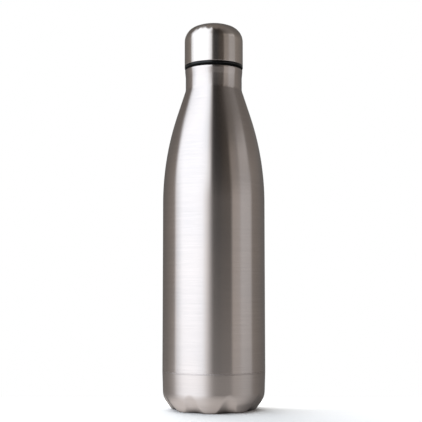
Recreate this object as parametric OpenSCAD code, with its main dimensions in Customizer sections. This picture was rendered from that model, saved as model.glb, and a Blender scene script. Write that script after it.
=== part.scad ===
// Double-walled vacuum bottle with a screw stopper. Units are millimetres.
// The bottle stands on Z = 0 and its axis is the Z axis.

/* [Body] */
// Outer radius of the straight body
body_r = 40; // [38:0.5:42]
// Height where the straight body ends and the shoulder begins
shoulder_z = 160.5; // [155:0.5:162]
// Radius of the shoulder's long arc
shoulder_arc_r = 222; // [215:1:230]
// Angle that the long arc turns through before the straight taper
shoulder_angle = 18.1; // [17.8:0.1:18.8]
// Thickness of the outer steel sheet
shell_t = 0.5; // [0.4:0.05:0.6]
// Height of the weld line between the shell and the base
seam_z = 29.5; // [27:0.5:30]

/* [Neck] */
// Outer radius of the neck
neck_r = 22.3; // [22:0.1:22.6]
// Radius of the fillet between the shoulder and the neck
neck_fillet = 4; // [3:0.5:5]
// Height of the mouth's top face
mouth_z = 266.8; // [266:0.1:268]
// Outer radius of the rolled lip
lip_r = 22.8; // [22.6:0.1:23]
// Radius of the mouth's bore
bore_r = 18; // [17.9:0.05:18.1]

/* [Inner bottle] */
// Outer radius of the inner bottle
liner_r = 35; // [34:0.5:36]
// Thickness of the inner steel sheet
liner_t = 0.4; // [0.35:0.05:0.5]
// Height of the inner bottle's floor
floor_z = 12.5; // [12:0.1:12.5]
// Height of the weld between the inner bottle's wall and its bottom
liner_seam_z = 17; // [17:0.5:26]
// Radius of the inner bottle's bottom corner
floor_corner_r = 4.5; // [3:0.5:4.5]

/* [Base] */
// Side radius of the base where its bottom corner begins
base_side_r = 39.55; // [39:0.05:39.8]
// Height where the bottom corner begins
base_corner_z = 15; // [14:0.5:16]
// Radius of the bottom corner
base_corner_r = 15.7; // [15:0.1:16.5]
// Angle of the base's cone from the vertical
base_cone_angle = 36.8; // [35:0.1:38]
// Number of flutes pressed into the base
flute_count = 8; // [6:1:8]
// Turn of the first flute about the axis
flute_turn = 17.5; // [0:0.5:45]
// Plan angle between a flute's side and its radius
flute_side_angle = 67; // [65:1:69]
// Height of a flute's top
flute_top_z = 13; // [12:0.5:13.5]
// Radius of a flute's bottom line at its top
flute_top_r = 39.35; // [39.2:0.05:39.4]
// Radius of a flute's bottom end, at the ground
flute_foot_r = 28.8; // [28:0.1:29.2]
// Radius of a flute's arc from its top to its foot
flute_arc_r = 30; // [28:1:40]
// Depth of the recess in the middle of the base
recess_z = 3; // [2.5:0.1:3.5]
// Radius of the recess
recess_r = 22; // [20:0.5:22.5]

/* [Cap] */
// Outer radius of the cap and of the stopper's flange
cap_r = 23.2; // [23:0.1:23.6]
// Height of the cap's lower edge
cap_z = 270; // [269.8:0.1:271]
// Height of the top of the cap
cap_top_z = 304; // [303:0.5:306]
// Radius of the cap's crown
crown_r = 41.3; // [38:0.1:45]
// Radius of the corner between the cap's side and its crown
cap_corner_r = 12.3; // [10:0.1:13]
// Thickness of the cap's steel sheet
cap_t = 0.5; // [0.4:0.05:0.8]

/* [Stopper] */
// Outer radius of the stopper's stem
stem_r = 16.7; // [16.6:0.05:16.8]
// Height of the stopper's lower end
stem_z = 246; // [245.5:0.5:247]
// Thickness of the stopper's moulded wall
stem_t = 1.8; // [1.5:0.1:2]
// Thickness of the flange that shows under the cap
flange_t = 2; // [1.8:0.1:2.2]

/* [Screw thread] */
// Rise of the thread in one turn
thread_lead = 5; // [5:0.5:5.5]
// Turns of thread on the stopper and in the neck
thread_turns = 2.25; // [2:0.25:2.25]
// Height of both threads' ridges
ridge_h = 1; // [0.9:0.05:1]

/* [Hidden] */
$fn = 96;

steel = "#b3aca5";
black = "#1b1b1d";

// Height of the weld groove between the shell's edge and the base's step
seam_gap = 0.5;
// How far the base's rim reaches up inside the shell, and its clearance there
rim_h = 4;
rim_gap = 0.05;
rim_r = body_r - shell_t - rim_gap;
// Depth of the weld below the body's surface, at its lower and upper edges
weld_depth = [0.25, 0.1];
// Lip: heights of its side and of the flare below it, and radii of its outer and inner edges
lip_h = 1.8;
lip_flare_h = 4.8;
lip_round = 1;
mouth_round = 1.2;
// Ring where the two lips are welded together
mouth_weld_r = 20;
mouth_weld_w = 0.4;
// Foot edge and the wall of the base's recess
foot_round = 1.2;
recess_wall_angle = 60;
// Dimple and port through which the air is drawn out
dimple_r = 3.5;
dimple_h = 1.2;
dimple_run = 1;
port_r = 0.8;
bead_gap = 0.1;
// Disc that covers the recess
disc_t = 0.6;
disc_gap = 0.4;
// Foil round the inner bottle
foil_t = 0.06;
foil_z = [30, 150];
// Getter pellet and its strap, hung from the inner bottle's underside
under_z = floor_z - liner_t;
getter_r = 5;
getter_h = 2.2;
getter_x = 12;
clip_w = 4;
clip_t = 0.4;
clip_foot = 3;
// Silicone ring
gasket_r = 22.9;
gasket_bore_r = 17;
skirt_r = 17.7;
skirt_h = 2.8;
// Stopper details
stem_round = 2;
flange_round = 0.4;
collar_r = cap_r - cap_t - 0.3;
collar_z = cap_z + 13;
collar_floor_h = 1.2;
foam_gap = 0.1;
cover_t = 1.4;
// Threads: how deep a ridge sits in its wall, how many steps make a turn,
// over how many steps an end fades, and the widths at the root and the crest
ridge_sink = 0.2;
steps_per_turn = 40;
fade_steps = 7;
neck_ridge = [2.6, 1.6];
stem_ridge = [2.9, 1.9];
neck_thread_z = 250.6;
stem_thread_z = neck_thread_z - thread_lead / 2;

// Points along an arc about [cx, cz] from angle a0 to angle a1.
function arc(cx, cz, r, a0, a1, n = 12) =
    [for (i = [0:n]) let (a = a0 + (a1 - a0) * i / n) [cx + r * cos(a), cz + r * sin(a)]];

function reversed(points) = [for (i = [len(points) - 1:-1:0]) points[i]];

// A sheet between an outline and the same outline taken further in.
module sheet(outer, inner) {
    rotate_extrude() polygon(concat(outer, reversed(inner)));
}

module ring(r_in, r_out, z0, z1) {
    rotate_extrude() translate([r_in, z0]) square([r_out - r_in, z1 - z0]);
}

// Shoulder and neck outline of a bottle with body radius br and neck radius nr,
// taken `inset` further in. The long arc has one centre for both bottles.
function shoulder(br, nr, inset) =
    let (
        ux = cos(shoulder_angle),
        uz = sin(shoulder_angle),
        centre = body_r - shoulder_arc_r,
        r = br - centre,
        taper_x = centre + r * ux,
        taper_z = shoulder_z + r * uz,
        fillet_z = taper_z + (neck_fillet - (nr + neck_fillet - taper_x) * ux) / uz
    )
    concat(
        arc(centre, shoulder_z, r - inset, 0, shoulder_angle, 24),
        arc(nr + neck_fillet, fillet_z, neck_fillet + inset, 180 + shoulder_angle, 180, 6)
    );

// Outer shell from its lower edge to the lip, taken `inset` further in.
function shell_outline(inset) =
    let (lip_side_z = mouth_z - lip_h)
    concat(
        [[body_r - inset, seam_z + seam_gap]],
        shoulder(body_r, neck_r, inset),
        [[neck_r - inset, lip_side_z - lip_flare_h], [lip_r - inset, lip_side_z]],
        arc(lip_r - lip_round, mouth_z - lip_round, lip_round - inset, 0, 90, 6),
        [[mouth_weld_r + mouth_weld_w, mouth_z - inset]]
    );

module outer_shell() {
    color(steel) sheet(shell_outline(0), shell_outline(shell_t));
}

// Base outline from the axis outwards and up to the corner's top, taken `inset` further in.
function base_outline(inset) =
    let (
        a = base_cone_angle,
        corner_x = base_side_r - base_corner_r,
        cone = corner_x * cos(a) - base_corner_z * sin(a) + base_corner_r,
        foot_x = (cone - foot_round * (1 - sin(a))) / cos(a),
        mitre = inset * tan(recess_wall_angle / 2),
        wall_run = recess_z / tan(recess_wall_angle)
    )
    concat(
        [
            [0, recess_z + dimple_h + inset],
            [dimple_r, recess_z + dimple_h + inset],
            [dimple_r + dimple_run, recess_z + inset],
            [recess_r + mitre, recess_z + inset],
            [recess_r + wall_run + mitre, inset]
        ],
        arc(foot_x, foot_round, foot_round - inset, -90, -a, 6),
        arc(corner_x, base_corner_z, base_corner_r - inset, -a, 0, 12)
    );

// Rim that steps in below the weld and nests in the shell, up to height top.
function rim_outline(inset, top) =
    [[body_r - inset, seam_z - seam_gap], [rim_r - inset, seam_z], [rim_r - inset, top]];

// One side of every flute: the space outside an arc, swept level across the base.
// The arc passes through the flute's top and its foot, measured square to the side.
module flute_side(inset, hand) {
    across = sin(flute_side_angle);
    top_x = flute_top_r * across;
    foot_x = flute_foot_r * across;
    dx = top_x - foot_x;
    chord = norm([dx, flute_top_z]);
    back = sqrt(pow(flute_arc_r, 2) - pow(chord / 2, 2)) / chord;
    centre_x = (top_x + foot_x) / 2 - flute_top_z * back;
    centre_z = flute_top_z / 2 + dx * back;
    rotate([90, 0, hand * (90 - flute_side_angle)])
        linear_extrude(height = 2 * body_r, center = true)
            difference() {
                translate([centre_x, -1]) square([2 * body_r - centre_x, centre_z + 1]);
                translate([centre_x, centre_z]) circle(r = flute_arc_r - inset);
            }
}

module base_solid(inset, top) {
    outline = concat(base_outline(inset), rim_outline(inset, top));
    difference() {
        rotate_extrude() polygon(concat(outline, [[0, top]]));
        for (k = [0:flute_count - 1])
            rotate(flute_turn + k * 360 / flute_count)
                intersection() {
                    flute_side(inset, 1);
                    flute_side(inset, -1);
                }
    }
}

module base_cup() {
    color(steel) difference() {
        base_solid(0, seam_z + rim_h);
        base_solid(shell_t, seam_z + rim_h + 1);
        cylinder(r = port_r, h = 2 * recess_z + dimple_h);
    }
}

module seam_weld() {
    color("#8d8681") rotate_extrude() polygon([
        [rim_r, seam_z],
        [body_r - weld_depth[0], seam_z],
        [body_r - weld_depth[1], seam_z + seam_gap],
        [rim_r, seam_z + seam_gap]
    ]);
}

// Inner bottle's wall from its lower weld to the mouth, taken `inset` further in.
function liner_outline(inset) =
    concat(
        [[liner_r - inset, liner_seam_z]],
        shoulder(liner_r, bore_r + liner_t, inset),
        arc(bore_r + mouth_round, mouth_z - mouth_round, mouth_round - liner_t + inset, 180, 90, 6),
        [[mouth_weld_r, mouth_z - liner_t + inset]]
    );

// Screw ridge on a wall of radius wall_r. side is 1 outside the wall and -1 inside it.
// widths holds the ridge's width at the wall and at its crest.
module screw_ridge(wall_r, side, z0, widths) {
    steps = round(thread_turns * steps_per_turn);
    root_r = wall_r - side * ridge_sink;
    points = [
        for (i = [0:steps])
            let (
                a = 360 * i / steps_per_turn,
                z = z0 + thread_lead * i / steps_per_turn,
                rise = min(1, i / fade_steps, (steps - i) / fade_steps),
                crest_r = wall_r + side * (ridge_h * rise - ridge_sink / 2 * (1 - rise))
            )
            for (p = [[root_r, -widths[0] / 2], [crest_r, -widths[1] / 2],
                      [crest_r, widths[1] / 2], [root_r, widths[0] / 2]])
                [p[0] * cos(a), p[0] * sin(a), z + p[1]]
    ];
    around = [
        for (i = [0:steps - 1])
            for (j = [0:3])
                [4 * i + j, 4 * i + (j + 1) % 4, 4 * i + 4 + (j + 1) % 4, 4 * i + 4 + j]
    ];
    last = 4 * steps;
    ends = [[3, 2, 1, 0], [last, last + 1, last + 2, last + 3]];
    faces = concat(around, ends);
    polyhedron(points = points, faces = side > 0 ? faces : [for (f = faces) reversed(f)]);
}

module liner() {
    color(steel) union() {
        sheet(liner_outline(0), liner_outline(liner_t));
        screw_ridge(bore_r, -1, neck_thread_z, neck_ridge);
    }
}

function floor_outline(inset) =
    let (corner_x = liner_r - floor_corner_r)
    concat(
        [[0, under_z + inset]],
        arc(corner_x, under_z + floor_corner_r, floor_corner_r - inset, -90, 0, 12),
        [[liner_r - inset, liner_seam_z]]
    );

module liner_base() {
    color(steel) sheet(floor_outline(0), floor_outline(liner_t));
}

module mouth_weld() {
    color(steel)
        ring(mouth_weld_r, mouth_weld_r + mouth_weld_w, mouth_z - shell_t, mouth_z);
}

module copper_foil() {
    color("#b87333") ring(liner_r, liner_r + foil_t, foil_z[0], foil_z[1]);
}

module getter() {
    color("#6f6f72") translate([getter_x, 0, under_z - getter_h]) cylinder(r = getter_r, h = getter_h);
}

module getter_clip() {
    leg_x = getter_r + foam_gap;
    half = leg_x + clip_t;
    color("#9a948e") translate([getter_x, -clip_w / 2, under_z - getter_h - clip_t]) {
        translate([-half, 0, 0]) cube([2 * half, clip_w, clip_t]);
        for (x = [-half, leg_x]) translate([x, 0, 0]) cube([clip_t, clip_w, getter_h + clip_t]);
        for (x = [-half - clip_foot, leg_x])
            translate([x, 0, getter_h]) cube([clip_foot + clip_t, clip_w, clip_t]);
    }
}

module vacuum_seal() {
    ceiling = recess_z + dimple_h;
    bead_r = dimple_r + dimple_run / 2;
    color("#5f6a66") rotate_extrude() polygon([
        [0, recess_z + 3 * bead_gap],
        [bead_r, recess_z + 3 * bead_gap],
        [dimple_r - bead_gap, ceiling],
        [port_r, ceiling],
        [port_r, ceiling + shell_t],
        [0, ceiling + shell_t]
    ]);
}

module base_disc() {
    color(steel) translate([0, 0, recess_z - disc_t]) cylinder(r = recess_r - disc_gap, h = disc_t);
}

module gasket() {
    color(black) rotate_extrude() polygon([
        [gasket_bore_r, cap_z - flange_t],
        [gasket_bore_r, mouth_z - skirt_h],
        [skirt_r, mouth_z - skirt_h],
        [skirt_r, mouth_z],
        [gasket_r, mouth_z],
        [gasket_r, cap_z - flange_t]
    ]);
}

// Cap outline from its lower edge to the top, taken `inset` further in.
function cap_outline(inset) =
    let (
        corner_x = cap_r - cap_corner_r,
        rise = sqrt(pow(crown_r - cap_corner_r, 2) - pow(corner_x, 2)),
        crown_z = cap_top_z - crown_r,
        a = atan2(rise, corner_x)
    )
    concat(
        [[cap_r - inset, cap_z]],
        arc(corner_x, crown_z + rise, cap_corner_r - inset, 0, a, 16),
        arc(0, crown_z, crown_r - inset, a, 90, 12)
    );

module cap_shell() {
    color(steel) sheet(cap_outline(0), cap_outline(cap_t));
}

module plug() {
    flange_z = cap_z - flange_t;
    pocket_z = cap_z + collar_floor_h;
    color(black) union() {
        rotate_extrude() polygon(concat(
            [[0, stem_z]],
            arc(stem_r - stem_round, stem_z + stem_round, stem_round, -90, 0, 6),
            [[stem_r, flange_z]],
            arc(cap_r - flange_round, flange_z + flange_round, flange_round, -90, 0, 4),
            arc(cap_r - flange_round, cap_z - flange_round, flange_round, 0, 90, 4),
            [
                [collar_r, cap_z],
                [collar_r, collar_z],
                [collar_r - stem_t, collar_z],
                [collar_r - stem_t, pocket_z],
                [stem_r - stem_t, pocket_z],
                [stem_r - stem_t, stem_z + stem_t],
                [0, stem_z + stem_t]
            ]
        ));
        screw_ridge(stem_r, 1, stem_thread_z, stem_ridge);
    }
}

module plug_cover() {
    color(black) union() {
        ring(0, collar_r, collar_z, collar_z + cover_t);
        ring(0, collar_r - stem_t - foam_gap, collar_z - cover_t, collar_z);
    }
}

module foam_core() {
    wide_r = collar_r - stem_t - foam_gap;
    narrow_r = stem_r - stem_t - foam_gap;
    pocket_z = cap_z + collar_floor_h + foam_gap;
    color("#e4ddc8") rotate_extrude() polygon([
        [0, stem_z + stem_t + foam_gap],
        [narrow_r, stem_z + stem_t + foam_gap],
        [narrow_r, pocket_z],
        [wide_r, pocket_z],
        [wide_r, collar_z - cover_t - foam_gap],
        [0, collar_z - cover_t - foam_gap]
    ]);
}

outer_shell();
base_cup();
seam_weld();
liner();
liner_base();
mouth_weld();
copper_foil();
getter();
getter_clip();
vacuum_seal();
base_disc();
gasket();
cap_shell();
plug();
plug_cover();
foam_core();
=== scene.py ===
"""Looks for the insulated water bottle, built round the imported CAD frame. Units are metres."""

import math

import bpy
import numpy as np
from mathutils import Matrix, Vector


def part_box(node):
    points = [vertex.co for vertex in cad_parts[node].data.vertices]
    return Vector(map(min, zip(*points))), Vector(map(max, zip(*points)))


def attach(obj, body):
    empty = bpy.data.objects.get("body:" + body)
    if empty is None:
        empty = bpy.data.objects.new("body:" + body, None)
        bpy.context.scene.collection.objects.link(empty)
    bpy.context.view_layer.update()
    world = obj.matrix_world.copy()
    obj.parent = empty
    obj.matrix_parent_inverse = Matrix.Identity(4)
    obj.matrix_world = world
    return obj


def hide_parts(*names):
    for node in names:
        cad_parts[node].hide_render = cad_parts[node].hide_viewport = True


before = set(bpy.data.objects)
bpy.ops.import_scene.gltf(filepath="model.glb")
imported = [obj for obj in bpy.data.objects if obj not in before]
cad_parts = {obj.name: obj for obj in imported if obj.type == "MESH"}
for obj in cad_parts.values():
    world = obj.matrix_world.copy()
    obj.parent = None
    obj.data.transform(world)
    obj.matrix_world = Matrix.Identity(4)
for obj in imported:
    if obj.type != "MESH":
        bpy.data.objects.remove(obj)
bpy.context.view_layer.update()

MM = 0.001

# Sizes read from the CAD frame.
SHELL_LOW, SHELL_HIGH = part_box("outer_shell")
CUP_TOP_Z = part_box("base_cup")[1].z
CAP_LOW, CAP_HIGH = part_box("cap_shell")
PLUG_LOW, PLUG_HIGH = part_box("plug")
GASKET_LOW, GASKET_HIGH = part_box("gasket")
LINER_SEAM_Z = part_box("liner")[0].z
DISC_LOW, DISC_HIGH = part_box("base_disc")
BODY_R = SHELL_HIGH.x
MOUTH_Z = SHELL_HIGH.z
SHELL_Z = SHELL_LOW.z
CAP_R = CAP_HIGH.x
CAP_Z = CAP_LOW.z
CAP_TOP_Z = CAP_HIGH.z

# Sizes that the frame's boxes don't give. They are the CAD's, apart from the rounded edge at the
# seam and the fillet under the neck, which is softer here.
SHELL_T = 0.5 * MM
SEAM_EDGE = 0.1 * MM
LINER_T = 0.4 * MM
CAP_T = 0.5 * MM
SHOULDER_Z = 160.5 * MM
SHOULDER_ARC_R = 222 * MM
SHOULDER_ANGLE = math.radians(18.1)
NECK_R = 22.3 * MM
NECK_FILLET = 8 * MM
LIP_R = 22.8 * MM
BORE_R = 18 * MM
LINER_R = 35 * MM

# The inner faces' straight stretch ends just under the shoulder.
STRAIGHT_TOP_Z = SHOULDER_Z - 1 * MM

# Columns of a turned mesh, and the radius under which a point of its outline is on the axis.
ROUND_COLUMNS = 256
ON_AXIS = 1e-7


# ---------------------------------------------------------------- outlines and meshes


def arc(cx, cz, r, start, end, steps):
    """Points on an arc about (cx, cz), from angle start to angle end in radians."""
    return [
        (cx + r * math.cos(a), cz + r * math.sin(a)) for a in np.linspace(start, end, steps + 1)
    ]


def rounded(corners, steps):
    """A closed outline from corners (r, z, fillet radius), each fillet as an arc."""
    out = []
    for i, (x, z, radius) in enumerate(corners):
        if radius <= 0:
            out.append((x, z))
            continue
        here = np.array((x, z))
        before = np.array(corners[i - 1][:2]) - here
        after = np.array(corners[(i + 1) % len(corners)][:2]) - here
        before /= np.linalg.norm(before)
        after /= np.linalg.norm(after)
        half = math.acos(max(-1, min(1, float(before @ after)))) / 2
        reach = radius / math.tan(half)
        centre = here + (before + after) / np.linalg.norm(before + after) * radius / math.sin(half)
        first, last = here + before * reach - centre, here + after * reach - centre
        turn = math.atan2(first[0] * last[1] - first[1] * last[0], float(first @ last))
        for k in range(steps + 1):
            c, s = math.cos(turn * k / steps), math.sin(turn * k / steps)
            out.append(tuple(centre + (c * first[0] - s * first[1], s * first[0] + c * first[1])))
    return out


def make_mesh(name, verts, faces, sharp_degrees=30):
    """An object that is smooth but for edges over sharp_degrees."""
    mesh = bpy.data.meshes.new(name)
    mesh.from_pydata([tuple(v) for v in verts], [], faces)
    mesh.validate()
    mesh.shade_smooth()
    mesh.set_sharp_from_angle(angle=math.radians(sharp_degrees))
    obj = bpy.data.objects.new(name, mesh)
    bpy.context.scene.collection.objects.link(obj)
    return obj


def woven(rings, closed):
    """Quads between neighbouring rings, each a list of vertex numbers. A ring of one is a pole."""
    faces = []
    pairs = list(zip(rings, rings[1:])) + ([(rings[-1], rings[0])] if closed else [])
    for low, high in pairs:
        n = max(len(low), len(high))
        for j in range(n):
            k = (j + 1) % n
            if len(low) == 1:
                faces.append((low[0], high[k], high[j]))
            elif len(high) == 1:
                faces.append((low[j], low[k], high[0]))
            else:
                faces.append((low[j], low[k], high[k], high[j]))
    return faces


def revolve(name, outline, columns=ROUND_COLUMNS, radius_at=None):
    """Turns a closed outline of (r, z) about the Z axis. An outline that starts and ends on the
    axis closes there, and one that runs up its outer side gives faces that look outwards.
    radius_at(angles, r, z) may change the radii of a ring."""
    angles = np.arange(columns) * 2 * math.pi / columns
    verts, rings = [], []
    for r, z in outline:
        if r < ON_AXIS:
            rings.append([len(verts)])
            verts.append((0, 0, z))
            continue
        radii = radius_at(angles, r, z) if radius_at else np.full(columns, r)
        rings.append(list(range(len(verts), len(verts) + columns)))
        verts += list(zip(radii * np.cos(angles), radii * np.sin(angles), np.full(columns, z)))
    closed = outline[0][0] > ON_AXIS
    return make_mesh(name, verts, woven(rings, closed))


def finish_piece(obj, body, material, node):
    """The piece takes its material, rides on its body and stands for the CAD node."""
    obj.data.materials.append(material)
    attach(obj, body)
    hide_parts(node)


# ---------------------------------------------------------------- shader nodes


class Nodes:
    """A short way to build a node tree: add() makes a node, sets its values and links its inputs."""

    def __init__(self, tree):
        self.tree = tree
        tree.nodes.clear()

    def add(self, kind, inputs=None, **settings):
        node = self.tree.nodes.new("ShaderNode" + kind)
        for key, value in settings.items():
            setattr(node, key, value)
        for key, value in (inputs or {}).items():
            if isinstance(value, bpy.types.NodeSocket):
                self.tree.links.new(value, node.inputs[key])
            else:
                node.inputs[key].default_value = value
        return node

    def math(self, operation, a, b=0.0):
        return self.add("Math", {0: a, 1: b}, operation=operation).outputs[0]

    def ramp(self, factor, stops):
        """stops holds (position, grey or colour)."""
        node = self.add("ValToRGB", {0: factor})
        elements = node.color_ramp.elements
        while len(elements) < len(stops):
            elements.new(0.5)
        for element, (position, value) in zip(elements, stops):
            element.position = position
            rgb = value if isinstance(value, tuple) else (value,) * 3
            element.color = (*rgb, 1)
        return node.outputs["Color"]

    def between(self, factor, low, high):
        """factor from 0 to 1 becomes low to high."""
        inputs = {"Value": factor, "To Min": low, "To Max": high}
        return self.add("MapRange", inputs, clamp=True).outputs[0]


def new_material(name):
    material = bpy.data.materials.new(name)
    material.use_nodes = True
    return material, Nodes(material.node_tree)


def lathe_coordinates(n, slope):
    """(position along the outline, unit direction from the axis) of a turned surface.
    slope is the sign that the radius takes so that the position grows all along the outline."""
    position = n.add("TexCoord").outputs["Object"]
    xyz = n.add("SeparateXYZ", {0: position})
    flat = n.add("CombineXYZ", {0: xyz.outputs[0], 1: xyz.outputs[1], 2: 0.0}).outputs[0]
    radius = n.add("VectorMath", {0: flat}, operation="LENGTH").outputs["Value"]
    direction = n.add("VectorMath", {0: flat}, operation="NORMALIZE").outputs[0]
    along = n.math("ADD", xyz.outputs[2], n.math("MULTIPLY", radius, slope))
    return along, direction


def ring_noise(n, along, direction, fineness, detail=2.0):
    """Noise drawn out round the axis. fineness is its scale per metre along the outline and per
    radian round the axis."""
    per_metre, per_radian = fineness
    turned = n.add("VectorMath", {0: direction, 3: per_radian}, operation="SCALE").outputs[0]
    xyz = n.add("SeparateXYZ", {0: turned})
    z = n.math("MULTIPLY", along, per_metre)
    where = n.add("CombineXYZ", {0: xyz.outputs[0], 1: xyz.outputs[1], 2: z}).outputs[0]
    inputs = {"Vector": where, "Scale": 1.0, "Detail": detail, "Roughness": 0.5}
    return n.add("TexNoise", inputs).outputs[0]


# Brushed steel mirrors less than a polished metal would at a glancing angle.
EDGE_TINT = (0.78, 0.78, 0.78, 1)

# Fineness of the brushing, per metre along the outline and per radian round the axis.
HAIRLINES = (5200, 5.0)
STREAKS = (1300, 1.0)
CLOUDS = (28, 1.3)
# How dark and how light the lines are beside the steel's own tint, and the tint of a stain.
LINE_DARK, LINE_LIGHT = 0.94, 1.05
STAIN = (0.965, 0.975, 0.985)
ROUGHNESS_SPREAD = 0.015


def blended(n, a, b, share):
    """share of a, and the rest of b."""
    return n.math("ADD", n.math("MULTIPLY", a, share), n.math("MULTIPLY", b, 1 - share))


def brushed_steel(name, tint, slope=-1.0, gloss=0.20, depth=0.004 * MM, stretch=0.9):
    """Steel brushed round its axis: hairlines, longer streaks and faint cloudy staining."""
    material, n = new_material(name)
    along, direction = lathe_coordinates(n, slope)
    hairlines = ring_noise(n, along, direction, HAIRLINES, detail=3)
    streaks = ring_noise(n, along, direction, STREAKS)
    clouds = ring_noise(n, along, direction, CLOUDS)
    lines = blended(n, hairlines, streaks, 0.5)
    dark = tuple(LINE_DARK * c for c in tint)
    light = tuple(min(1, LINE_LIGHT * c) for c in tint)
    colour = n.ramp(lines, [(0.30, dark), (0.70, light)])
    stain = n.ramp(clouds, [(0.35, STAIN), (0.65, 1.0)])
    base = n.add("Mix", {0: 1.0, "A": colour, "B": stain}, data_type="RGBA", blend_type="MULTIPLY")
    wear = blended(n, streaks, clouds, 0.6)
    rough = n.between(wear, gloss - ROUGHNESS_SPREAD, gloss + ROUGHNESS_SPREAD)
    bump = n.add("Bump", {"Strength": 0.5, "Distance": depth, "Height": lines})
    shader = n.add("BsdfPrincipled", {
        "Base Color": base.outputs["Result"], "Metallic": 1.0, "Roughness": rough,
        "Normal": bump.outputs[0], "Anisotropic": stretch, "Anisotropic Rotation": 0.25,
        "Specular Tint": EDGE_TINT,
        "Tangent": n.add("Tangent", direction_type="RADIAL", axis="Z").outputs[0],
    })
    n.add("OutputMaterial", {0: shader.outputs[0]})
    return material


def grain(n, scale):
    """Even noise in the object's own space."""
    position = n.add("TexCoord").outputs["Object"]
    return n.add("TexNoise", {"Vector": position, "Scale": scale, "Detail": 3.0}).outputs[0]


def speckled(name, dark, light, rough, scale, depth, **sockets):
    """Moulded or pressed stuff: its colour, gloss and surface vary with a fine grain. rough holds
    the least and the most roughness, and sockets the shader's other values."""
    material, n = new_material(name)
    patch_size = 40
    noise = grain(n, scale)
    patches = grain(n, scale / patch_size)
    inputs = {
        "Base Color": n.ramp(blended(n, noise, patches, 0.5), [(0.35, dark), (0.65, light)]),
        "Roughness": n.between(patches, *rough),
        "Normal": n.add("Bump", {"Strength": 0.4, "Distance": depth, "Height": noise}).outputs[0],
    }
    inputs.update({key.replace("_", " "): value for key, value in sockets.items()})
    shader = n.add("BsdfPrincipled", inputs)
    n.add("OutputMaterial", {0: shader.outputs[0]})
    return material


STEEL = (0.650, 0.573, 0.536)
# The cap's tint is the wall's steel made about a tenth lighter. This is painted light, standing in for
# the brighter reflections that the dome shows.
CAP_STEEL_PAINTED_LIGHTER = (0.71, 0.63, 0.578)
INNER_STEEL = (0.60, 0.58, 0.56)
WELD_STEEL = (0.60, 0.53, 0.50)
COPPER = (0.72, 0.40, 0.26)
BLACK_LOW, BLACK_HIGH = 0.001, 0.003

steel_wall = brushed_steel("brushed_steel_wall", STEEL)
steel_base = brushed_steel(
    "brushed_steel_base", STEEL, slope=1.0, gloss=0.28, depth=0.005 * MM, stretch=0.8
)
steel_cap = brushed_steel("brushed_steel_cap", CAP_STEEL_PAINTED_LIGHTER, gloss=0.18, stretch=0.8)
steel_inner = brushed_steel("inner_steel", INNER_STEEL, gloss=0.34, stretch=0.6)
steel_weld = brushed_steel("weld_steel", WELD_STEEL, gloss=0.36, depth=0.02 * MM, stretch=0.3)
copper = brushed_steel("copper_foil", COPPER, gloss=0.30, stretch=0.4)
black_plastic = speckled(
    "black_plastic", BLACK_LOW, BLACK_HIGH, rough=(0.10, 0.16), scale=9000, depth=0.003 * MM,
    Specular_IOR_Level=0.32,
)
silicone = speckled(
    "black_silicone", BLACK_LOW, BLACK_HIGH, rough=(0.5, 0.65), scale=14000, depth=0.006 * MM,
    Specular_IOR_Level=0.06,
)
pellet = speckled(
    "getter_pellet", (0.22, 0.22, 0.23), (0.40, 0.40, 0.41), rough=(0.8, 0.95), scale=5000,
    depth=0.06 * MM,
)
foam = speckled(
    "stopper_foam", (0.70, 0.66, 0.56), (0.86, 0.82, 0.72), rough=(0.85, 0.95), scale=2600,
    depth=0.15 * MM,
)
seal_glass = speckled(
    "seal_glass", (0.16, 0.20, 0.19), (0.24, 0.29, 0.27), rough=(0.05, 0.12), scale=1500,
    depth=0.01 * MM, Transmission_Weight=0.6, IOR=1.5,
)


# ---------------------------------------------------------------- the welded flask


def shoulder(body, neck, inset):
    """Outline from the body up to the neck, for a body and a neck of these radii: a long arc, a
    straight taper and a fillet, all moved inwards by inset."""
    centre = BODY_R - SHOULDER_ARC_R
    ux, uz = math.cos(SHOULDER_ANGLE), math.sin(SHOULDER_ANGLE)
    r = body - centre
    taper_x, taper_z = centre + r * ux, SHOULDER_Z + r * uz
    fillet_z = taper_z + (NECK_FILLET - (neck + NECK_FILLET - taper_x) * ux) / uz
    long_arc = arc(centre, SHOULDER_Z, r - inset, 0, SHOULDER_ANGLE, 60)
    fillet_r, half_turn = NECK_FILLET + inset, math.pi
    fillet = arc(neck + NECK_FILLET, fillet_z, fillet_r, half_turn + SHOULDER_ANGLE, half_turn, 8)
    last, first = np.array(long_arc[-1]), np.array(fillet[0])
    taper = [tuple(last + (first - last) * t) for t in np.linspace(0, 1, 14)[1:-1]]
    return long_arc + taper + fillet


def lip_flare(inset):
    """The neck widens in a straight slope to the rolled lip."""
    low, high = MOUTH_Z - 6.6 * MM, MOUTH_Z - 1.8 * MM
    return [
        (NECK_R + (LIP_R - NECK_R) * t - inset, low + (high - low) * t)
        for t in np.linspace(0, 1, 9)
    ]


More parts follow.
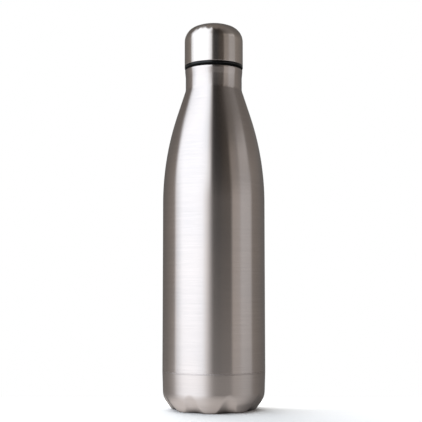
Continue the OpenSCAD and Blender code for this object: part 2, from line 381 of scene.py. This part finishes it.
def build_outer_shell():
    """Body, shoulder, neck and rolled lip as one closed sheet, up to the weld at the mouth."""
    edge, lip = SEAM_EDGE, 1.0 * MM
    weld_r = 20.4 * MM
    outside = [(BODY_R - edge, SHELL_Z)]
    outside += arc(BODY_R - edge, SHELL_Z + edge, edge, -math.pi / 2, 0, 4)[1:]
    outside += [(BODY_R, z) for z in np.linspace(SHELL_Z + 2 * edge, SHOULDER_Z, 40)[:-1]]
    outside += shoulder(BODY_R, NECK_R, 0) + lip_flare(0)
    outside += arc(LIP_R - lip, MOUTH_Z - lip, lip, 0, math.pi / 2, 8)
    outside += [(weld_r, MOUTH_Z)]
    inside = [(BODY_R - SHELL_T, SHELL_Z), (BODY_R - SHELL_T, STRAIGHT_TOP_Z)]
    inside += shoulder(BODY_R, NECK_R, SHELL_T) + lip_flare(SHELL_T)
    inside += arc(LIP_R - lip, MOUTH_Z - lip, lip - SHELL_T, 0, math.pi / 2, 8)
    inside += [(weld_r, MOUTH_Z - SHELL_T)]
    shell = revolve("outer_shell_brushed", outside + inside[::-1])
    finish_piece(shell, "flask", steel_wall, "outer_shell")


# Fluted base. In plan a flute's sides meet in a valley, each at FLUTE_SIDE to the radius there, and
# in side view the valley runs down an arc from FLUTE_TOP to the foot. RIDGE_SOFT rounds the ridges
# between side and flute, and the two VALLEY values round the valley.
FLUTES = 8
COLUMNS_PER_FLUTE = 72
FLUTE_TURN = math.radians(17.5)
FLUTE_SIDE = math.radians(67)
FLUTE_TOP = (38.42 * MM, 13 * MM)
FLUTE_FOOT_R = 28.1 * MM
FLUTE_ARC_R = 30 * MM
BASE_SIDE_R = 39.55 * MM
BASE_CORNER_Z = 15 * MM
BASE_CORNER_R = 15.7 * MM
BASE_CONE = math.radians(36.8)
RIDGE_SOFT = 0.6 * MM
VALLEY_SOFT = math.radians(7.5)
VALLEY_SHIFT = math.radians(4.5)

# The base's rim goes up inside the shell from its seam, and its side starts a step under that. Then
# come its foot and the recess in its underside.
BASE_SEAM_Z = SHELL_Z - 0.5 * MM
BASE_STEP_Z = BASE_SEAM_Z - 0.5 * MM
RIM_R = BODY_R - SHELL_T - 0.05 * MM
FOOT_Z = 1.0 * MM
FOOT_WIDTH = 1.3 * MM
RECESS_R = 22 * MM
RECESS_Z = DISC_HIGH.z
RECESS_WALL = math.radians(60)
RECESS_BEND = 0.6 * MM
RECESS_BEND_Z = 0.52 * MM
# The port's dimple: radius and height over the recess.
PORT = ((4.5 * MM, 0), (3.5 * MM, 1.2 * MM), (0.8 * MM, 1.2 * MM))


def side_radius(z):
    """Radius of the base's side without its flutes."""
    if z >= BASE_CORNER_Z:
        t = (z - BASE_CORNER_Z) / (BASE_STEP_Z - BASE_CORNER_Z)
        return BASE_SIDE_R + (BODY_R - BASE_SIDE_R) * min(1, t)
    centre = BASE_SIDE_R - BASE_CORNER_R
    cone_z = BASE_CORNER_Z - BASE_CORNER_R * math.sin(BASE_CONE)
    if z >= cone_z:
        return centre + math.sqrt(BASE_CORNER_R**2 - (z - BASE_CORNER_Z) ** 2)
    return centre + BASE_CORNER_R * math.cos(BASE_CONE) - (cone_z - z) * math.tan(BASE_CONE)


def flute_reach(z):
    """Distance of a flute's side from the axis, square to that side."""
    across = math.sin(FLUTE_SIDE)
    top, foot = FLUTE_TOP[0] * across, FLUTE_FOOT_R * across
    height = FLUTE_TOP[1]
    chord = math.hypot(top - foot, height)
    back = math.sqrt(FLUTE_ARC_R**2 - chord**2 / 4) / chord
    cx, cz = (top + foot) / 2 - height * back, height / 2 + (top - foot) * back
    return cx + math.sqrt(FLUTE_ARC_R**2 - min(0, z - cz) ** 2)


def fluted(angles, z):
    """Radii of the fluted side at height z: the nearer of side and flute, blended at the ridges."""
    pitch = 2 * math.pi / FLUTES
    off = (angles - FLUTE_TURN + pitch / 2) % pitch - pitch / 2
    off = np.sqrt(off**2 + VALLEY_SOFT**2) - VALLEY_SHIFT
    flute = flute_reach(z) / np.sin(FLUTE_SIDE - off)
    side = side_radius(z)
    h = np.clip(0.5 + 0.5 * (flute - side) / RIDGE_SOFT, 0, 1)
    return flute * (1 - h) + side * h - RIDGE_SOFT * h * (1 - h)


def bend(a, b, c, t):
    """The point at t on a curve from a to c that is pulled towards b."""
    return (1 - t) ** 2 * a + 2 * t * (1 - t) * b + t * t * c


def base_side(angles, inset):
    """Rings of (radii, height) from the rim down the fluted side to the foot."""
    rim = np.full_like(angles, RIM_R - inset)
    rings = [(rim, CUP_TOP_Z), (rim, BASE_SEAM_Z)]
    edge = arc(BODY_R - SEAM_EDGE, BASE_STEP_Z - SEAM_EDGE, SEAM_EDGE, math.pi / 2, 0, 4)
    rings += [(np.full_like(angles, r - inset), z) for r, z in edge]
    heights = np.linspace(BASE_SEAM_Z - 1 * MM, BASE_CORNER_Z, 14).tolist()
    heights += np.linspace(BASE_CORNER_Z, FOOT_Z, 66).tolist()[1:]
    rings += [(fluted(angles, z) - inset, z + inset * (1 - z / BASE_SEAM_Z)) for z in heights]
    return rings


def base_foot(angles, inset):
    """Rings round under the foot and in to the recess's wall."""
    rings = []
    side, corner = fluted(angles, FOOT_Z), fluted(angles, 0)
    stand = corner - FOOT_WIDTH
    for t in np.linspace(0, 1, 9)[1:]:
        rings.append((bend(side, corner, stand, t) - inset * (1 - t), (1 - t) ** 2 * FOOT_Z + inset))
    wall_r = RECESS_R + RECESS_Z / math.tan(RECESS_WALL) + RECESS_BEND
    for t in np.linspace(0, 1, 6)[1:-1]:
        rings.append((stand * (1 - t) + wall_r * t, inset))
    return rings


def base_recess(angles, inset):
    """Rings up the recess's sloping wall, with a bend at its foot and at its top, and in to the port."""
    low_r, soft = RECESS_R + RECESS_Z / math.tan(RECESS_WALL), RECESS_BEND / 2
    low = [(low_r + RECESS_BEND, 0), (low_r, 0), (low_r - soft, RECESS_BEND_Z)]
    high = [(RECESS_R + soft, RECESS_Z - RECESS_BEND_Z), (RECESS_R, RECESS_Z)]
    high += [(RECESS_R - RECESS_BEND, RECESS_Z)]
    rings = []
    for corners in (low, high):
        (ar, az), (br, bz), (cr, cz) = corners
        for t in np.linspace(0, 1, 5):
            r, z = bend(ar, br, cr, t), bend(az, bz, cz, t)
            rings.append((np.full_like(angles, r + inset / 2), z + inset))
    return rings + [(np.full_like(angles, r), RECESS_Z + z + inset) for r, z in PORT]


def build_base():
    """The base cup: fluted side, foot, recess and port, as a closed sheet."""
    columns = FLUTES * COLUMNS_PER_FLUTE
    angles = np.arange(columns) * 2 * math.pi / columns

    def skin(inset):
        return base_side(angles, inset) + base_foot(angles, inset) + base_recess(angles, inset)

    verts, rows = [], []
    for radii, z in skin(SHELL_T) + skin(0)[::-1]:
        rows.append(list(range(len(verts), len(verts) + columns)))
        verts += list(zip(radii * np.cos(angles), radii * np.sin(angles), np.full(columns, z)))
    base = make_mesh("base_cup_fluted", verts, woven(rows, True), sharp_degrees=40)
    finish_piece(base, "flask", steel_base, "base_cup")


def build_seam_weld():
    """A nearly flush bead in the groove between the shell's edge and the base's step, with fine
    weld ripples."""
    root_r = BODY_R - SHELL_T - 0.04 * MM
    root_z, top, low = BASE_SEAM_Z + 0.02 * MM, SHELL_Z - 0.01 * MM, BASE_STEP_Z
    # Depth under the body's surface and height, from the bead's lower edge to its upper one.
    face = [(0.11 * MM, low + 0.02 * MM), (0.04 * MM, low + 0.12 * MM), (0.02 * MM, low + 0.4 * MM)]
    face += [(0.02 * MM, top - 0.4 * MM), (0.04 * MM, top - 0.10 * MM), (0.11 * MM, top)]
    outline = [(root_r, root_z)] + [(BODY_R - depth, z) for depth, z in face] + [(root_r, top)]
    waves, wave_h, crown_r = 120, 0.006 * MM, BODY_R - 0.1 * MM

    def ripple(angles, r, z):
        return r + wave_h * np.sin(waves * angles) * (r > crown_r)

    bead = revolve("seam_weld_bead", outline, 8 * waves, ripple)
    finish_piece(bead, "flask", steel_weld, "seam_weld")


# The screw. The stopper's ridge starts half a lead under the neck's, so each runs in the other's groove.
LEAD = 5 * MM
TURNS = 2.25
RIDGE_H = 0.97 * MM
NECK_THREAD_Z = 250.6 * MM
PLUG_THREAD_Z = NECK_THREAD_Z - LEAD / 2
RIDGE_FADE = math.radians(63)
THREAD_STEP = 0.25 * MM


def ease(t):
    """t from 0 to 1, with soft ends."""
    return t * t * (3 - 2 * t)


def ridge_height(angles, z, start_z, root, crest):
    """Height of a helical ridge at each angle, at height z, for its widths at root and crest."""
    share = np.zeros_like(angles)
    run = 2 * math.pi * TURNS
    for k in range(math.ceil(TURNS) + 1):
        total = angles + 2 * math.pi * k
        ends = np.clip(np.minimum(total, run - total) / RIDGE_FADE, 0, 1)
        off = np.abs(z - (start_z + LEAD * total / (2 * math.pi)))
        flank = np.clip((root / 2 - off) / (root / 2 - crest / 2), 0, 1)
        share = np.maximum(share, ease(flank) * ease(ends))
    return RIDGE_H * share


def build_liner():
    """The inner bottle's wall: its screw ridge is rolled into the sheet, so both faces follow it."""
    lip = 1.2 * MM
    neck_r, weld_r = BORE_R + LINER_T, 20 * MM

    def thread(angles, r, z):
        """The ridge, on the neck's two faces and clear of the lip."""
        if r > neck_r + 0.01 * MM or z > MOUTH_Z - 2 * MM:
            return np.full_like(angles, r)
        return r - ridge_height(angles, z, NECK_THREAD_Z, root=2.5 * MM, crest=1.5 * MM)

    def side(inset):
        curve = [(LINER_R - inset, z) for z in np.linspace(LINER_SEAM_Z, STRAIGHT_TOP_Z, 30)]
        curve += shoulder(LINER_R, neck_r, inset)
        heights = np.arange(curve[-1][1] + THREAD_STEP, MOUTH_Z - lip, THREAD_STEP)
        curve += [(neck_r - inset, z) for z in heights]
        curve += arc(BORE_R + lip, MOUTH_Z - lip, lip - LINER_T + inset, math.pi, math.pi / 2, 8)
        return curve + [(weld_r, MOUTH_Z - LINER_T + inset)]

    liner = revolve("inner_bottle_wall", side(0) + side(LINER_T)[::-1], radius_at=thread)
    finish_piece(liner, "flask", steel_inner, "liner")


def build_base_disc():
    """Cover disc over the port, with a rolled edge and two spun grooves."""
    r, low, high = DISC_HIGH.x, DISC_LOW.z, DISC_HIGH.z
    groove_radii, groove_w, groove_h = (8 * MM, 17 * MM), 0.9 * MM, 0.15 * MM
    rolled = 0.25 * MM
    face = [(0, low)]
    for groove_r in groove_radii:
        for t in np.linspace(-1, 1, 13):
            face.append((groove_r + groove_w * t, low + groove_h * (1 + math.cos(math.pi * t)) / 2))
    edge = arc(r - rolled, low + rolled, rolled, -math.pi / 2, 0, 5)
    disc = revolve("base_cover_disc", face + edge + [(r, high), (0, high)])
    finish_piece(disc, "flask", steel_base, "base_disc")


# ---------------------------------------------------------------- the seal and the stopper


def build_gasket():
    """Silicone ring: a washer with a round outer bead and a soft skirt inside the mouth."""
    low, mouth, high = GASKET_LOW.z, MOUTH_Z, GASKET_HIGH.z
    bore, skirt, outer = 17.0 * MM, 17.7 * MM, GASKET_HIGH.x
    corners = [
        (bore, high, 0), (bore, low, 0.2 * MM), (skirt, low, 0.3 * MM), (skirt, mouth, 0),
        (outer, mouth, 0.5 * MM), (outer, high, 0.35 * MM),
    ]
    ring = revolve("silicone_gasket", rounded(corners, 8))
    finish_piece(ring, "seal_ring", silicone, "gasket")


def cap_outline(inset):
    """The dome's outline from its side to the top: a corner arc, then the crown's wide one."""
    crown, corner, edge_h = 41.3 * MM, 12.3 * MM, 0.6 * MM
    corner_x = CAP_R - corner
    lift = math.sqrt((crown - corner) ** 2 - corner_x**2)
    crown_z = CAP_TOP_Z - crown
    turn = math.atan2(lift, corner_x)
    outline = [(CAP_R - inset, z) for z in np.linspace(CAP_Z + edge_h, crown_z + lift, 14)[:-1]]
    outline += arc(corner_x, crown_z + lift, corner - inset, 0, turn, 40)
    outline += arc(0, crown_z, crown - inset, turn, math.pi / 2, 24)[1:-1]
    return outline + [(0, CAP_TOP_Z - inset)]


def build_cap():
    """Steel dome with a rolled lower edge and faint pressing ripples round its shoulder."""
    rim = 0.2 * MM
    ripple_z, ripple_h, depth = CAP_TOP_Z - 7.0 * MM, 1.7 * MM, 0.10 * MM

    def ripple(angles, r, z):
        """26 waves a turn that swell and fade three times, and 11 slower ones."""
        strength = math.exp(-(((z - ripple_z) / ripple_h) ** 2))
        quick = np.sin(26 * angles - 0.56) * (0.7 + 0.4 * np.cos(3 * angles - 0.8))
        slow = 0.4 * np.sin(11 * angles)
        return r + depth * strength * (quick + slow)

    outside = arc(CAP_R - rim, CAP_Z + rim, rim, -math.pi / 2, 0, 5) + cap_outline(0)
    inside = [(CAP_R - CAP_T, CAP_Z)] + cap_outline(CAP_T)
    dome = revolve("cap_dome_brushed", outside + inside[::-1], 2 * ROUND_COLUMNS, ripple)
    finish_piece(dome, "cap", steel_cap, "cap_shell")


def build_plug():
    """Moulded stopper: flange, stem with its screw ridge, and the collar under the dome."""
    stem, wall, tip = 16.7 * MM, 1.8 * MM, 2 * MM
    low, flange = PLUG_LOW.z, CAP_Z - 2 * MM
    flange_low_r, flange_high_r = 0.45 * MM, 0.35 * MM
    collar = CAP_R - CAP_T - 0.3 * MM
    pocket = CAP_Z + 1.2 * MM

    def thread(angles, r, z):
        """The ridge, on the stem and clear of the flange."""
        if abs(r - stem) > 1e-6 or z > flange - 1 * MM:
            return np.full_like(angles, r)
        return r + ridge_height(angles, z, PLUG_THREAD_Z, root=2.8 * MM, crest=1.8 * MM)

    outside = [(0, low)] + arc(stem - tip, low + tip, tip, -math.pi / 2, 0, 8)
    heights = np.arange(low + tip + THREAD_STEP, flange - THREAD_STEP / 2, THREAD_STEP)
    outside += [(stem, z) for z in heights] + [(stem, flange)]
    outside += arc(CAP_R - flange_low_r, flange + flange_low_r, flange_low_r, -math.pi / 2, 0, 6)
    outside += arc(CAP_R - flange_high_r, CAP_Z - flange_high_r, flange_high_r, 0, math.pi / 2, 6)
    outside += [(collar, CAP_Z), (collar, PLUG_HIGH.z)]
    inside = [(collar - wall, PLUG_HIGH.z), (collar - wall, pocket), (stem - wall, pocket)]
    inside += [(stem - wall, low + wall), (0, low + wall)]
    plug = revolve("stopper_plug", outside + inside, radius_at=thread)
    finish_piece(plug, "cap", black_plastic, "plug")


build_outer_shell()
build_base()
build_seam_weld()
build_liner()
build_base_disc()
build_gasket()
build_cap()
build_plug()

# CAD nodes that keep their own meshes.
CARRIED = {
    "mouth_weld": steel_inner, "liner_base": steel_inner,
    "copper_foil": copper, "getter": pellet, "getter_clip": steel_inner,
    "vacuum_seal": seal_glass, "plug_cover": black_plastic, "foam_core": foam,
}
for node_name, node_material in CARRIED.items():
    node_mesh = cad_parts[node_name].data
    node_mesh.materials.clear()
    node_mesh.materials.append(node_material)


# ---------------------------------------------------------------- studio


def disc_mesh(name, reach, sides):
    """A flat disc at z = 0, facing up."""
    angles = np.arange(sides) * 2 * math.pi / sides
    verts = [(0, 0, 0)] + [(reach * math.cos(a), reach * math.sin(a), 0) for a in angles]
    faces = [(0, 1 + i, 1 + (i + 1) % sides) for i in range(sides)]
    return make_mesh(name, verts, faces)


def rise(n, value, start, end, curve="SMOOTHSTEP"):
    """0 up to start, 1 from end."""
    limits = {"Value": value, "From Min": start, "From Max": end}
    return n.add("MapRange", limits, interpolation_type=curve, clamp=True).outputs[0]


# The floor fades to white as y grows behind the bottle and as the distance from its axis grows. Light
# is added to it over the GLOW ranges, and over the WHITE ranges it turns plain white.
GLOW_DEPTH, WHITE_DEPTH = (-0.004, 0.068), (0.05, 0.09)
GLOW_AWAY, WHITE_AWAY = (0.16, 0.42), (0.30, 0.50)
# The dark ring that the steel sees on the floor, in body radii: it darkens over the first range and
# clears over the second.
SHADE_IN, SHADE_OUT = (0.58, 0.69), (0.69, 0.92)
FLOOR_GREY = (0.80, 0.80, 0.80, 1)
SHADE_GREY = (0.01, 0.01, 0.01, 1)


def build_floor():
    """A pale round table top, seen from above only, that fades to white away from the bottle. In the
    steel only the dark ring of shadow round the foot shows: past that the steel sees the room."""
    floor = disc_mesh("studio_floor", reach=0.9, sides=96)
    material, n = new_material("pale_floor")
    position = n.add("TexCoord").outputs["Object"]
    away = n.add("VectorMath", {0: position}, operation="LENGTH").outputs["Value"]
    depth = n.add("SeparateXYZ", {0: position}).outputs[1]

    glow = n.math("MAXIMUM", rise(n, depth, *GLOW_DEPTH, "LINEAR"), rise(n, away, *GLOW_AWAY))
    white = n.math("MAXIMUM", rise(n, depth, *WHITE_DEPTH), rise(n, away, *WHITE_AWAY))
    table = n.add("BsdfDiffuse", {"Color": FLOOR_GREY})
    fading = n.add("AddShader", {0: table.outputs[0], 1: n.add("Emission", {1: glow}).outputs[0]})
    pale = n.add("MixShader", {0: white, 1: fading.outputs[0], 2: n.add("Emission").outputs[0]})

    shade_in = rise(n, away, *(share * BODY_R for share in SHADE_IN))
    shade_out = rise(n, away, *(share * BODY_R for share in SHADE_OUT))
    clearness = n.math("ADD", n.math("SUBTRACT", 1.0, shade_in), shade_out)
    dark = n.add("BsdfDiffuse", {"Color": SHADE_GREY})
    clear = n.add("BsdfTransparent")
    mirrored = n.add("MixShader", {0: clearness, 1: dark.outputs[0], 2: clear.outputs[0]})

    glossy = n.add("LightPath").outputs["Is Glossy Ray"]
    top = n.add("MixShader", {0: glossy, 1: pale.outputs[0], 2: mirrored.outputs[0]})
    under = n.add("NewGeometry").outputs["Backfacing"]
    mix = n.add("MixShader", {0: under, 1: top.outputs[0], 2: clear.outputs[0]})
    n.add("OutputMaterial", {0: mix.outputs[0]})
    floor.data.materials.append(material)


# The room as the steel sees it, in rings from the table to the upper walls: (azimuth in degrees from
# the front, negative to the left; light level; warmth). A wide soft box stands on the left, a dark
# strip at the front and a weaker panel on the right, which is bright at the foot of the walls and
# again in the narrow ring that the bottle's shoulder mirrors.
GROUND_RING = [
    (-180, 0.08, 0.02), (-164, 0.30, 0.0), (-150, 0.85, 0.0), (-128, 0.95, 0.0), (-106, 0.85, 0.0),
    (-89, 0.88, 0.0), (-74, 0.92, -0.02), (-35, 0.92, -0.02), (-11, 0.72, 0.0), (0, 0.66, 0.0),
    (20, 0.64, 0.0), (60, 0.62, 0.0), (74, 0.57, 0.0), (89, 0.47, 0.0), (106, 0.27, 0.0),
    (128, 0.13, 0.0), (150, 0.12, 0.0), (180, 0.08, 0.02),
]
TABLE_RING = [
    (-180, 0.19, 0.02), (-160, 0.26, 0.02), (-146, 0.34, 0.02), (-128, 0.28, 0.02), (-112, 0.38, 0.0),
    (-98, 0.60, -0.03), (-86, 0.95, -0.04), (-70, 1.40, -0.06), (-58, 1.52, -0.06),
    (-40, 1.46, -0.06), (-24, 1.12, -0.05), (-12, 0.58, -0.02), (0, 0.42, 0.0), (12, 0.40, 0.0),
    (38, 0.42, 0.0), (46, 0.46, 0.0), (74, 0.46, 0.0), (92, 0.36, 0.0), (106, 0.26, 0.03),
    (128, 0.20, 0.03), (180, 0.19, 0.02),
]
LOW_WALLS = [
    (-180, 0.185, 0.03), (-144, 0.185, 0.03), (-126, 0.21, 0.05), (-106, 0.27, 0.06),
    (-98, 0.33, 0.03), (-94, 0.98, -0.05), (-87, 1.27, -0.10), (-74, 1.75, -0.10),
    (-60, 1.77, -0.10), (-38, 1.77, -0.10), (-26, 1.66, -0.10), (-16, 1.05, -0.04),
    (-8, 0.42, -0.02), (-1, 0.075, -0.02), (12, 0.04, -0.02), (19, 0.065, 0.06), (30, 0.07, 0.08),
    (39, 0.075, 0.08), (43, 0.46, 0.05), (60, 0.52, 0.02), (65, 0.66, -0.03), (91, 0.60, -0.02),
    (96, 0.25, 0.06), (112, 0.22, 0.06), (140, 0.19, 0.02), (180, 0.185, 0.02),
]
MID_WALLS = [
    (-180, 0.21, 0.03), (-128, 0.22, 0.05), (-108, 0.27, 0.06), (-102, 0.38, 0.02),
    (-98, 1.2, -0.10), (-80, 1.77, -0.10), (-60, 1.77, -0.10), (-34, 1.77, -0.10), (-18, 1.77, -0.10),
    (-9, 1.56, -0.10), (-5, 0.12, -0.02), (1, 0.038, -0.03), (14, 0.032, -0.02), (20, 0.045, 0.14),
    (34, 0.065, 0.18), (39, 0.07, 0.16), (52, 0.09, 0.08), (68, 0.19, 0.03), (90, 0.23, 0.03),
    (97, 0.31, 0.06), (120, 0.26, 0.06), (150, 0.23, 0.03), (180, 0.22, 0.02),
]
UPPER_WALLS = [
    (-180, 0.20, 0.03), (-128, 0.20, 0.04), (-105, 0.24, 0.04), (-100, 0.85, -0.05), (-95, 1.77, -0.10),
    (-60, 1.77, -0.10), (-34, 1.77, -0.10), (-18, 1.66, -0.10), (-9, 1.1, -0.04), (-4, 0.10, -0.01),
    (2, 0.036, -0.02), (16, 0.032, 0.0), (24, 0.05, 0.14), (37, 0.075, 0.14), (42, 0.38, 0.08),
    (60, 0.35, 0.04), (66, 0.62, 0.0), (90, 0.64, 0.0), (95, 0.22, 0.06), (120, 0.19, 0.06),
    (180, 0.20, 0.02),
]
HIGH_WALLS = [
    (-180, 0.17, 0.03), (-128, 0.17, 0.04), (-114, 0.25, 0.03), (-107, 1.14, -0.10),
    (-92, 1.66, -0.10), (-60, 1.77, -0.10), (-34, 1.77, -0.10), (-18, 1.4, -0.10), (-9, 0.6, -0.03),
    (-4, 0.08, 0.0), (4, 0.032, 0.0), (20, 0.032, 0.08), (36, 0.055, 0.10), (48, 0.11, 0.06),
    (62, 0.16, 0.04), (90, 0.215, 0.03), (108, 0.18, 0.04), (140, 0.16, 0.03), (180, 0.17, 0.03),
]
# Each ring takes over from the one below it between two elevations, in degrees above the horizon.
# Straight down the steel sees the ground, and straight up the ceiling.
ROOM = [
    (GROUND_RING, -89, -66), (TABLE_RING, -34, -12), (LOW_WALLS, -9, -1),
    (MID_WALLS, 9, 15), (UPPER_WALLS, 15, 20), (HIGH_WALLS, 23, 33),
]
GROUND = (0.62, 0.61, 0.60, 1)
CEILING = (0.21, 0.195, 0.18, 1)
CEILING_START, CEILING_END = 64, 74
BACKDROP = (1, 1, 1, 1)


def wall_stops(walls):
    """Stops of a colour ramp over one full turn."""
    return [
        ((azimuth + 180) / 360, (level * (1 + warmth), level, level * (1 - warmth)))
        for azimuth, level, warmth in walls
    ]


def build_world():
    """The room for everything that the bottle mirrors or is lit by, and plain white for the camera."""
    world = bpy.data.worlds.new("studio")
    bpy.context.scene.world = world
    world.use_nodes = True
    n = Nodes(world.node_tree)
    direction = n.add("TexCoord").outputs["Generated"]
    x, y, z = n.add("SeparateXYZ", {0: direction}).outputs
    azimuth = n.math("ARCTAN2", x, n.math("MULTIPLY", y, -1.0))
    turn = n.math("ADD", n.math("MULTIPLY", azimuth, 1 / (2 * math.pi)), 0.5)

    def above(lower, upper, start, end):
        """lower up to start degrees above the horizon, upper from end degrees."""
        share = rise(n, z, math.sin(math.radians(start)), math.sin(math.radians(end)))
        return n.add("Mix", {0: share, "A": lower, "B": upper}, data_type="RGBA").outputs["Result"]

    room = GROUND
    for ring, start, end in ROOM:
        room = above(room, n.ramp(turn, wall_stops(ring)), start, end)
    room = above(room, CEILING, CEILING_START, CEILING_END)
    seen = n.add("LightPath").outputs["Is Camera Ray"]
    shown = n.add("Mix", {0: seen, "A": room, "B": BACKDROP}, data_type="RGBA")
    background = n.add("Background", {0: shown.outputs["Result"], 1: 1.0})
    n.add("OutputWorld", {0: background.outputs[0]})


def build_lamp(name, size, power, location, target):
    """A soft box of the given width and height, which lights the scene but isn't mirrored or seen."""
    lamp = bpy.data.lights.new(name, "AREA")
    lamp.shape = "RECTANGLE"
    lamp.size, lamp.size_y = size
    lamp.energy = power
    obj = bpy.data.objects.new(name, lamp)
    bpy.context.scene.collection.objects.link(obj)
    obj.location = location
    obj.rotation_mode = "QUATERNION"
    obj.rotation_quaternion = (Vector(target) - Vector(location)).to_track_quat("-Z", "Y")
    obj.visible_glossy = False
    obj.visible_camera = False


# The camera stands low and close in front of the bottle. It is turned up and left by these degrees.
CAMERA_PLACE = (0, -0.786, 0.090)
CAMERA_LENS, CAMERA_SENSOR = 85.3, 36
CAMERA_UP, CAMERA_LEFT = 4.68, 0.16


def build_camera():
    data = bpy.data.cameras.new("camera")
    data.sensor_width = CAMERA_SENSOR
    data.lens = CAMERA_LENS
    data.clip_start, data.clip_end = 0.01, 50
    camera = bpy.data.objects.new("camera", data)
    camera.location = CAMERA_PLACE
    camera.rotation_euler = (math.radians(90 + CAMERA_UP), 0, math.radians(CAMERA_LEFT))
    bpy.context.scene.collection.objects.link(camera)
    bpy.context.scene.camera = camera


build_floor()
build_world()
build_lamp("overhead", size=(1.4, 1.4), power=12.5, location=(0, 0.2, 1.1), target=(0, 0.1, 0))
build_lamp("key", size=(0.9, 0.5), power=8.5, location=(-0.5, 0.85, 0.85), target=(0, 0, 0))
build_camera()
bpy.context.scene.view_settings.view_transform = "Standard"

bpy.context.view_layer.update()
